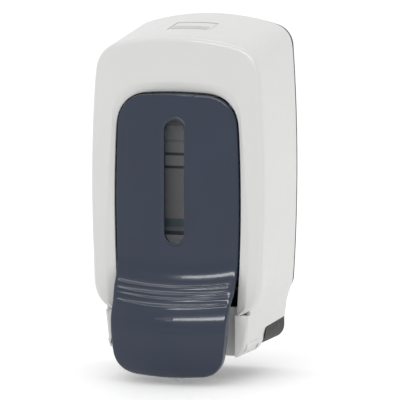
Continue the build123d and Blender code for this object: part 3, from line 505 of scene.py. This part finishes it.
def build_cover():
    """Arched shell of the cover, from the opening round the front edge and the side to the inside."""
    points, faces = [], []
    rows = []
    # opening wall, its rounded edge, and the bevel
    bevel_foot = FRAME_Y + BEVEL_DEPTH
    rows.append(opening_row(FRAME_Y + FRAME_WALL, 0))
    rows.append(opening_row(bevel_foot + 0.5, 0))
    rows.append(opening_row(bevel_foot + 0.15, 0.12))
    rows.append(opening_row(bevel_foot, 0.5))
    rows.append(opening_row(bevel_foot - 0.28 * BEVEL_DEPTH, 2.3))
    rows.append(opening_row(FRAME_Y + 0.22 * BEVEL_DEPTH, BEVEL_WIDTH - 1.2))
    rows.append(opening_row(FRAME_Y + 0.06, BEVEL_WIDTH - 0.1))
    rows.append(opening_row(FRAME_Y, BEVEL_WIDTH + 0.8))
    flat_start = opening_row(FRAME_Y, BEVEL_WIDTH + 0.8)
    flat_end = round_row(0)
    for step in range(1, 8):
        rows.append(between(flat_start, flat_end, step / 8))
    # round edge and the side
    for step in range(9):
        rows.append(round_row(math.radians(90 * step / 8)))
    for step in range(1, 12):
        y = FRAME_Y + FRONT_ROUND + (COVER_BACK_Y - 0.5 - FRAME_Y - FRONT_ROUND) * step / 11
        rows.append(cover_row(y, 0))
    rows.append(cover_row(COVER_BACK_Y - 0.12, 0.12))
    rows.append(cover_row(COVER_BACK_Y, 0.5))
    rows.append(cover_row(COVER_BACK_Y, COVER_WALL - 0.2))
    # inside
    for step in range(7):
        y = COVER_BACK_Y + (FRAME_Y + FRAME_WALL + 2.0 - COVER_BACK_Y) * step / 6
        rows.append(cover_row(y, COVER_WALL))
    rows.append(cover_row(FRAME_Y + FRAME_WALL + 0.6, COVER_WALL + 0.6))
    inner_front = cover_row(FRAME_Y + FRAME_WALL, COVER_WALL + 2.0)
    rows.append(inner_front)
    for step in range(1, 4):
        rows.append(between(inner_front, rows[0], step / 4))
    indices = loft(rows, faces, points, close_rows=True)
    # the feet are closed with a face each
    faces.append([row[0] for row in indices])
    faces.append([row[-1] for row in reversed(indices)])
    return points, faces


def box_faces(points, faces, x0, x1, y0, y1, z0, z1, edge=0.4):
    """Adds a block with chamfered edges."""
    work = bmesh.new()
    bmesh.ops.create_cube(work, size=1.0)
    centre = Vector(((x0 + x1) / 2, (y0 + y1) / 2, (z0 + z1) / 2))
    size = Vector((abs(x1 - x0), abs(y1 - y0), abs(z1 - z0)))
    for vert in work.verts:
        vert.co = Vector(c + v * s for c, v, s in zip(centre, vert.co, size))
    bmesh.ops.bevel(work, geom=work.edges[:], offset=edge, segments=2, affect="EDGES", profile=0.5)
    start = len(points)
    work.verts.index_update()
    points.extend(tuple(vert.co) for vert in work.verts)
    faces.extend([start + vert.index for vert in face.verts] for face in work.faces)
    work.free()


def cut(piece, *boxes):
    """Cuts blocks, in millimetres, out of a piece."""
    for x0, x1, y0, y1, z0, z1 in boxes:
        points, faces = [], []
        box_faces(points, faces, x0, x1, y0, y1, z0, z1, 0.3)
        mesh = bpy.data.meshes.new("cutter")
        mesh.from_pydata([(x * MM, y * MM, z * MM) for x, y, z in points], [], faces)
        cutter = bpy.data.objects.new("cutter", mesh)
        bpy.context.scene.collection.objects.link(cutter)
        modifier = piece.modifiers.new("cut", "BOOLEAN")
        modifier.object = cutter
        modifier.solver = "EXACT"
        bpy.context.view_layer.update()
        result = bpy.data.meshes.new_from_object(piece.evaluated_get(bpy.context.evaluated_depsgraph_get()))
        piece.modifiers.clear()
        piece.data = result
        bpy.data.objects.remove(cutter)


CUT_Z = -94.0  # height where the arch's feet end and the lower body starts
TUCK = 5.0  # how far the lower body reaches up inside the arch
TUCK_STEP = 0.1  # height over which it draws back
TUCK_FRONT_Y = -79.6  # it does so behind the frame
BODY_FRONT_Y = -83.4
BODY_EDGE_X = 48.0  # outside this its front edge is round
BODY_ROUND = 2.6
BODY_EDGE_ANGLE = math.radians(60)


def on_front_edge(edge):
    """True for a sharp edge along the outer front of the lower body."""
    if len(edge.link_faces) != 2 or edge.calc_face_angle() <= BODY_EDGE_ANGLE:
        return False
    return all(abs(v.co.y / MM - BODY_FRONT_Y) < 0.05 and abs(v.co.x / MM) > BODY_EDGE_X for v in edge.verts)


def lower_body_mesh():
    """Both pillars with their hinge ears: the cover's solid below the arch, reaching up inside its feet."""
    work = bmesh.new()
    work.from_mesh(nodes["front_cover"].data)
    bmesh.ops.remove_doubles(work, verts=work.verts, dist=1e-6)
    geometry = work.verts[:] + work.edges[:] + work.faces[:]
    bmesh.ops.bisect_plane(work, geom=geometry, plane_co=(0, 0, CUT_Z * MM), plane_no=(0, 0, 1),
                           clear_outer=True)
    front_edges = [e for e in work.edges if on_front_edge(e)]
    bmesh.ops.bevel(work, geom=front_edges, offset=BODY_ROUND * MM, segments=5, affect="EDGES", profile=0.5)
    rim = [e for e in work.edges if e.is_boundary]
    for rise in (TUCK_STEP, TUCK):
        raised = bmesh.ops.extrude_edge_only(work, edges=rim)
        for vert in [v for v in raised["geom"] if isinstance(v, bmesh.types.BMVert)]:
            vert.co.z += rise * MM
            vert.co.y = max(vert.co.y, TUCK_FRONT_Y * MM)
        rim = [e for e in raised["geom"] if isinstance(e, bmesh.types.BMEdge) and e.is_boundary]
    bmesh.ops.holes_fill(work, edges=rim, sides=0)
    bmesh.ops.recalc_face_normals(work, faces=work.faces)
    mesh = bpy.data.meshes.new("cover_lower")
    work.to_mesh(mesh)
    work.free()
    return mesh


# Hole for the release tab, as X, Y and Z from and to
TAB_HOLE = (-16.2, 16.2, -58.8, -35.0, 90, 125)

cover_points, cover_faces = build_cover()
cover_upper = make_piece("cover_upper", cover_points, cover_faces, white_abs, "cover")
cut(cover_upper, TAB_HOLE)
cover_upper.data.set_sharp_from_angle(angle=math.radians(40))
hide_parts("front_cover")

cover_lower = finish_piece("cover_lower", lower_body_mesh(), white_abs, "cover", 35)
weighted = cover_lower.modifiers.new("even_normals", "WEIGHTED_NORMAL")
weighted.keep_sharp = True

axle_min, axle_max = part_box("lever_axle")
AXLE_Y = (axle_min.y + axle_max.y) / 2 / MM
AXLE_Z = (axle_min.z + axle_max.z) / 2 / MM
BLOCK_X = (47.2, 52)  # blocks that hold the rod's ends
BLOCK_HALF = 6
CHEEK_X = (17, 20)  # cheeks beside the release tab
PIN_CHEEK = (-59, -51, 100, 107.5)  # as Y and Z from and to
SPRING_CHEEK = (-47, -40, 96, 109.3)
SPRING_SEAT_Z = (95.5, 97)


def build_cover_fittings():
    """Blocks for the rod, cheeks for the tab's pin, and the seat of the tab's spring."""
    points, faces = [], []
    for s in (1, -1):
        box_faces(points, faces, s * BLOCK_X[0], s * BLOCK_X[1], FRAME_Y + FRAME_WALL - 0.5, AXLE_Y + 5,
                  AXLE_Z - BLOCK_HALF, AXLE_Z + BLOCK_HALF)
        for cheek in (PIN_CHEEK, SPRING_CHEEK):
            box_faces(points, faces, s * CHEEK_X[0], s * CHEEK_X[1], *cheek)
    box_faces(points, faces, -CHEEK_X[1], CHEEK_X[1], *SPRING_CHEEK[:2], *SPRING_SEAT_Z)
    return points, faces


fitting_points, fitting_faces = build_cover_fittings()
cover_fittings = make_piece("cover_fittings", fitting_points, fitting_faces, white_abs, "cover",
                            30)

# ---- springs -----------------------------------------------------------------------------------


def shortening_spring(node, body):
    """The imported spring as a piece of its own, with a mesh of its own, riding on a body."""
    piece = finish_piece(node + "_coil", nodes[node].data.copy(), spring_steel, body, 35)
    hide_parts(node)
    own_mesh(piece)


shortening_spring("pump_spring", "chassis")
shortening_spring("latch_spring", "cover")

# ---- push lever --------------------------------------------------------------------------------

# Level sections of the lever's front: height, depth at the middle, fall-back at SECTION_X
LEVER_SECTIONS = [
    (72, -88.0, 6.2), (0, -88.2, 6.2), (-54, -88.0, 6.2), (-60, -88.2, 6.3), (-66, -89.3, 6.6),
    (-72, -92.2, 7.4), (-78, -97.5, 8.8), (-84, -103.2, 10.2), (-90, -108.3, 11.0), (-98, -111.8, 11.4),
    (-110, -112.6, 11.5), (-124, -110.8, 11.0), (-133, -106.8, 10.5), (-140, -99.0, 10.0),
]
SECTION_X = 50.0
PANEL_WALL = 3.0
EDGE_ROUND = 1.5
# Rear edge of the lever's side walls, as (Z, Y)
LEVER_BACK = [(-66, -79.6), (-80, -88), (-88, -95.5), (-95, -96.5)]
RIDGE_HEIGHTS = (-74.4, -78.9, -82.0, -87.0)
BOW_X = 44.0  # distance from the middle where the two rises below are measured
FLARE_BOW = 4.8
RIDGE_SAG = 3.3
RIDGE_END_X = 43.6
RIDGE_RISE = 0.80
RIDGE_WIDTH = 1.10
RIDGE_FADE = 2.6  # length over which a ridge runs out at its ends
CREASE_Z = -103.4
CREASE_DEPTH = 0.16
CREASE_WIDTH = 1.3
SLOT_WIDE = 15.0
SLOT_TALL = 89.0
SLOT_Z = 1.5
SLOT_DRAFT = 1.4  # how much wider the slot is at the back of the panel
RIM_WIDE = 2.0
RIM_RISE = 0.6
EAR_X = 29.0
EAR_THICK = 6.0
EAR_R = 5.6
BUSH_R = 4.0
EAR_FRONT_Y = -83.6
EAR_LIFT = 3.0  # the ear's web reaches this far above and below the rod's axis
EAR_DROP = 14.0
RETAINER_IN = 1.5  # the lens frame's inner and outer edge, out from the slot
RETAINER_OUT = 5.5
RETAINER_THICK = 1.6
RETAINER_TAB_X = 8.0
LENS_BACK_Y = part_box("window_lens")[1].y / MM


def lever_value(z, column):
    """Smooth curve through one column of the sections."""
    rows = LEVER_SECTIONS
    z = max(rows[-1][0], min(rows[0][0], z))
    k = next(i for i in range(len(rows) - 1) if z >= rows[i + 1][0])

    def slope(i):
        low, high = max(i - 1, 0), min(i + 1, len(rows) - 1)
        return (rows[high][column] - rows[low][column]) / (rows[high][0] - rows[low][0])

    z0, z1 = rows[k][0], rows[k + 1][0]
    v0, v1 = rows[k][column], rows[k + 1][column]
    h = z1 - z0
    t = (z - z0) / h
    return ((2 * t**3 - 3 * t**2 + 1) * v0 + (t**3 - 2 * t**2 + t) * h * slope(k)
            + (3 * t**2 - 2 * t**3) * v1 + (t**3 - t**2) * h * slope(k + 1))


def slot_distance(x, z):
    """Distance outwards from the edge of the window slot."""
    half = (SLOT_TALL - SLOT_WIDE) / 2
    dz = max(0.0, abs(z - SLOT_Z) - half)
    return math.hypot(x, dz) - SLOT_WIDE / 2


def lever_bare(x, z):
    """Depth of the lever's front without its ridges and rim. The flare starts higher at the sides."""
    bow = FLARE_BOW * (x / BOW_X) ** 2 * fade(z, -60, -46) * fade(-z, 72, 90)
    return lever_value(z - bow, 1) + lever_value(z, 2) * (x / SECTION_X) ** 2


def lever_front(x, z):
    """Depth of the lever's front with four sagging grip ridges, a soft crease and the window's rim."""
    y = lever_bare(x, z)
    bow = RIDGE_SAG * (x / BOW_X) ** 2
    strength = fade(abs(x), RIDGE_END_X - RIDGE_FADE, RIDGE_END_X)
    for ridge in RIDGE_HEIGHTS:
        y -= RIDGE_RISE * strength * math.exp(-((z - ridge - bow) / RIDGE_WIDTH) ** 2)
    y += CREASE_DEPTH * math.exp(-((z - CREASE_Z - bow * 0.6) / CREASE_WIDTH) ** 2)
    return y - RIM_RISE * fade(slot_distance(x, z), RIM_WIDE - 0.5, RIM_WIDE + 0.2)


def lever_loop():
    """Closed outline of the lever, seen from the front."""
    half = arc((-22, 64.2), (0, 65), (22, 64.2), 24)[12:]
    half += arc((22, 64.2), (38.8, 57.6), (45.4, 42), 18)
    half += arc((45.4, 42), (47, -5), (46, -60), 40)
    half += arc((46, -60), (45.2, -73), (44.4, -86), 20)
    half += arc((44.4, -86), (43.7, -104), (42, -120), 16)
    half += arc((42, -120), (36.9, -132.4), (22, -138), 14)
    half += arc((22, -138), (0, -139), (-22, -138), 24)[:12] + [(0, -139)]
    left = [(-x, z) for x, z in reversed(half[1:-1])]
    return eased(half + left, 3, True)


LEVER_LOOP = lever_loop()
LEVER_NORMALS = normals(LEVER_LOOP, True)


def inset_loop(distance):
    """The lever's outline drawn inset."""
    return [(x - nx * distance, z - nz * distance) for (x, z), (nx, nz) in zip(LEVER_LOOP, LEVER_NORMALS)]


def slot_loop(grow):
    """Outline of the window slot, grown all round."""
    radius = SLOT_WIDE / 2 + grow
    half = (SLOT_TALL - SLOT_WIDE) / 2
    loop = []
    for centre, turn in ((SLOT_Z + half, 0), (SLOT_Z - half, math.pi)):
        for i in range(17):
            angle = turn + math.pi * i / 16
            loop.append((radius * math.cos(angle), centre + radius * math.sin(angle)))
    straight = []
    steps = 24
    for k in range(2):
        a, b = loop[17 * k + 16], loop[(17 * k + 17) % 34]
        straight.append([(a[0], a[1] + (b[1] - a[1]) * i / steps) for i in range(1, steps)])
    return loop[:17] + straight[0] + loop[17:] + straight[1]


def inside(loop, x, z):
    """True where a point lies inside a closed loop."""
    found = False
    for (ax, az), (bx, bz) in zip(loop, loop[1:] + loop[:1]):
        if (az > z) != (bz > z) and x < (bx - ax) * (z - az) / (bz - az) + ax:
            found = not found
    return found


def patch(loops, grid, hole_grow):
    """Triangles over nested loops and loose grid points, leaving the slot open."""
    flat, edges = [], []
    for loop in loops:
        start = len(flat)
        flat.extend(loop)
        edges.extend((start + i, start + (i + 1) % len(loop)) for i in range(len(loop)))
    flat.extend(grid)
    verts, _, faces, *_ = delaunay_2d_cdt([Vector(p) for p in flat], edges, [], 1, 1e-5)
    kept = []
    for face in faces:
        middle = sum((verts[i] for i in face), Vector((0, 0))) / len(face)
        if slot_distance(middle.x, middle.y) > hole_grow:
            kept.append(tuple(face))
    return [tuple(v) for v in verts], kept


GRID_HALF_X = 46.0
GRID_TOP_Z = 64.0
GRID_FOOT_Z = -139.0
RIDGE_ZONE = (-95, -68)  # heights where the grid is finest


def grid_points(margin, slot_margin, fine):
    """Points over the lever, closer together where it flares."""
    rim = inset_loop(margin)
    found = []
    z = GRID_TOP_Z
    while z > GRID_FOOT_Z:
        on_ridges = RIDGE_ZONE[0] < z < RIDGE_ZONE[1]
        step = (0.5 if on_ridges else 1.6) if fine else 3.0
        across = 1.6 if fine else 3.0
        count = int(2 * GRID_HALF_X / across)
        for i in range(count + 1):
            x = -GRID_HALF_X + 2 * GRID_HALF_X * i / count
            if slot_distance(x, z) > slot_margin and inside(rim, x, z):
                found.append((x, z))
        z -= step
    return found


def lever_back(z):
    """Depth where the lever's side walls end."""
    for (z0, y0), (z1, y1) in zip(LEVER_BACK, LEVER_BACK[1:]):
        if z > z1:
            return y0 + (y1 - y0) * min(1.0, (z0 - z) / (z0 - z1)) if z < z0 else y0
    return LEVER_BACK[-1][1]


def build_lever():
    """Lever's shell: front skin with its rolled edge, side walls, inner skin and the window slot."""
    points, faces = [], []
    # front skin with its rolled edge
    rolls = [0.0, 0.12, 0.4, 0.85, EDGE_ROUND]
    loops = [inset_loop(d) for d in rolls] + [slot_loop(g) for g in (0.0, 0.4, 1.0, 1.5, 1.9, 2.3)]
    flat, triangles = patch(loops, grid_points(EDGE_ROUND + 0.9, 3.2, True), 0.0)
    edge_depth = {}
    for d, loop in zip(rolls, loops):
        back = EDGE_ROUND - math.sqrt(max(0.0, EDGE_ROUND**2 - (EDGE_ROUND - d) ** 2))
        for x, z in loop:
            edge_depth[(round(x, 3), round(z, 3))] = back
    start = len(points)
    for x, z in flat:
        points.append((x, lever_front(x, z) + edge_depth.get((round(x, 3), round(z, 3)), 0.0), z))
    faces.extend(tuple(start + i for i in t) for t in triangles)
    # side wall, its foot, and the inside of the wall
    outer = [(x, lever_front(x, z) + EDGE_ROUND, z) for x, z in inset_loop(0)]
    rows = [outer]
    foot = [(x, lever_back(z), z) for x, z in inset_loop(0)]
    rows.append(between(outer, foot, 0.5))
    rows.append([(x, y - 0.3, z) for x, y, z in foot])
    rows.append([(x, lever_back(z), z) for x, z in inset_loop(0.3)])
    rows.append([(x, lever_back(z), z) for x, z in inset_loop(PANEL_WALL - 0.3)])
    inner = [(x, lever_bare(x, z) + PANEL_WALL, z) for x, z in inset_loop(PANEL_WALL)]
    rows.append([(x, min(lever_back(z) - 0.3, y), z) for x, y, z in inner])
    rows.append(inner)
    loft(rows, faces, points, close_line=True)
    # inner skin
    loops = [inset_loop(PANEL_WALL), slot_loop(SLOT_DRAFT)]
    flat, triangles = patch(loops, grid_points(PANEL_WALL + 1.5, SLOT_DRAFT + 1.5, False), SLOT_DRAFT)
    start = len(points)
    points.extend((x, lever_bare(x, z) + PANEL_WALL, z) for x, z in flat)
    faces.extend(tuple(start + i for i in t) for t in triangles)
    # wall of the window slot
    loft([[(x, lever_front(x, z), z) for x, z in slot_loop(0.0)],
          [(x, lever_bare(x, z) + PANEL_WALL, z) for x, z in slot_loop(SLOT_DRAFT)]],
         faces, points, close_line=True)
    return points, faces


def ear_reach(angle):
    """Distance from the rod's axis to the ear's outline, in a direction from the front upwards."""
    across, rise = math.cos(angle), math.sin(angle)
    reach = EAR_R
    if across > 0:
        front = AXLE_Y - EAR_FRONT_Y
        at_front = rise / across * front
        if -EAR_DROP <= at_front <= EAR_LIFT:
            reach = max(reach, front / across)
    return reach


def build_fittings():
    """Ears on the rod and the post of the bumper, on the inside of the lever."""
    points, faces = [], []
    turns = [math.tau * i / 72 for i in range(72)]
    outline = [(ear_reach(a) * math.cos(a), ear_reach(a) * math.sin(a)) for a in turns]
    hole = [(BUSH_R * math.cos(a), BUSH_R * math.sin(a)) for a in turns]
    for s in (1, -1):
        near, far = s * EAR_X, s * (EAR_X + EAR_THICK)
        rows = [[(x, AXLE_Y - along, AXLE_Z + rise) for along, rise in ring]
                for x, ring in ((near, hole), (near, outline), (far, outline), (far, hole))]
        loft(rows, faces, points, close_rows=True, close_line=True)
    bumper_min, bumper_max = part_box("pusher_bumper")
    box_faces(points, faces, bumper_min.x / MM, bumper_max.x / MM, lever_bare(0, -99) + 1.0,
              bumper_min.y / MM, bumper_min.z / MM, bumper_max.z / MM, 0.5)
    return points, faces


def build_retainer():
    """Frame that holds the lens: a ring round the slot with a screw tab at each end."""
    points, faces = [], []
    back = LENS_BACK_Y + RETAINER_THICK
    section = [
        (RETAINER_IN, LENS_BACK_Y), (RETAINER_OUT, LENS_BACK_Y), (RETAINER_OUT, back - 0.4),
        (RETAINER_OUT - 0.4, back), (RETAINER_IN + 0.3, back), (RETAINER_IN, back - 0.3),
    ]
    rows = [[(x, y, z) for x, z in slot_loop(grow)] for grow, y in section]
    loft(rows, faces, points, close_rows=True, close_line=True)
    frame_min, frame_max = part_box("lens_retainer")
    reach = SLOT_TALL / 2 + RETAINER_IN + 0.8
    for low, high in ((frame_min.z / MM, SLOT_Z - reach), (SLOT_Z + reach, frame_max.z / MM)):
        box_faces(points, faces, -RETAINER_TAB_X, RETAINER_TAB_X, LENS_BACK_Y - 0.8, back, low, high)
    return points, faces


lever_points, lever_faces = build_lever()
lever_shell = make_piece("lever_shell", lever_points, lever_faces, slate_abs, "lever", 35)
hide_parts("push_lever")
fitting_points, fitting_faces = build_fittings()
lever_fittings = make_piece("lever_fittings", fitting_points, fitting_faces, slate_inner, "lever",
                            35)
retainer_points, retainer_faces = build_retainer()
lens_frame = make_piece("lens_frame", retainer_points, retainer_faces, slate_inner, "lever",
                        35)
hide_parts("lens_retainer")

# ---- stage, lights and camera ------------------------------------------------------------------

floor_mesh = bpy.data.meshes.new("floor")
FLOOR_Z = cad_box[0][2] - 0.0002
REACH = 6.0
floor_mesh.from_pydata([(-REACH, -REACH, FLOOR_Z), (REACH, -REACH, FLOOR_Z), (REACH, REACH, FLOOR_Z),
                        (-REACH, REACH, FLOOR_Z)], [], [(0, 1, 2, 3)])
floor = bpy.data.objects.new("floor", floor_mesh)
bpy.context.scene.collection.objects.link(floor)
floor_mesh.materials.append(moulded("floor_paper", (0.93, 0.93, 0.93), 0.6, 0.004, 400, 1e-5))
floor_shader = floor_mesh.materials[0].node_tree.nodes["Principled BSDF"]
floor_shader.inputs["Emission Color"].default_value = (1, 1, 1, 1)
floor_shader.inputs["Emission Strength"].default_value = 0.12

world = bpy.data.worlds.new("studio")
world.use_nodes = True
world.node_tree.nodes["Background"].inputs["Color"].default_value = (1.0, 1.0, 1.0, 1)
world.node_tree.nodes["Background"].inputs["Strength"].default_value = 1.0
bpy.context.scene.world = world

TARGET = Vector((0, -0.050, -0.0153))  # point that the lamps face


def towards(azimuth, elevation):
    """Direction out to a place right of the front and above the level, in degrees."""
    side, up = math.radians(azimuth), math.radians(elevation)
    return Vector((math.sin(side) * math.cos(up), -math.cos(side) * math.cos(up), math.sin(up)))


def softbox(name, azimuth, elevation, distance, size, power):
    """Rectangular soft light that faces the object, from an azimuth right of the front."""
    light = bpy.data.lights.new(name, "AREA")
    light.shape = "RECTANGLE"
    light.size, light.size_y = size
    light.energy = power
    lamp = bpy.data.objects.new(name, light)
    direction = towards(azimuth, elevation)
    lamp.location = TARGET + direction * distance
    lamp.rotation_euler = direction.to_track_quat("Z", "Y").to_euler()
    bpy.context.scene.collection.objects.link(lamp)
    return lamp


# the strip and the ridge light only draw highlights; the sky and the overhead softbox light the surfaces
softbox("strip_right", 11, 32, 1.5, (1.45, 0.22), 16).visible_diffuse = False
softbox("ridge_light", 0, 86, 1.6, (2.4, 0.12), 9).visible_diffuse = False
softbox("overhead", 0, 84, 2.2, (2.4, 2.4), 8)

VIEW_AZIMUTH = 18.9
VIEW_ELEVATION = 6.0
LENS = 295.92
CAMERA_PLACE = Vector((0.77894, -2.30617, 0.23557))
camera_data = bpy.data.cameras.new("camera")
camera_data.lens = LENS
camera_data.sensor_width = 36.0
camera_data.clip_end = 50.0
camera = bpy.data.objects.new("camera", camera_data)
camera.location = CAMERA_PLACE
camera.rotation_euler = towards(VIEW_AZIMUTH, VIEW_ELEVATION).to_track_quat("Z", "Y").to_euler()
bpy.context.scene.collection.objects.link(camera)
bpy.context.scene.camera = camera
bpy.context.scene.view_settings.view_transform = "Standard"
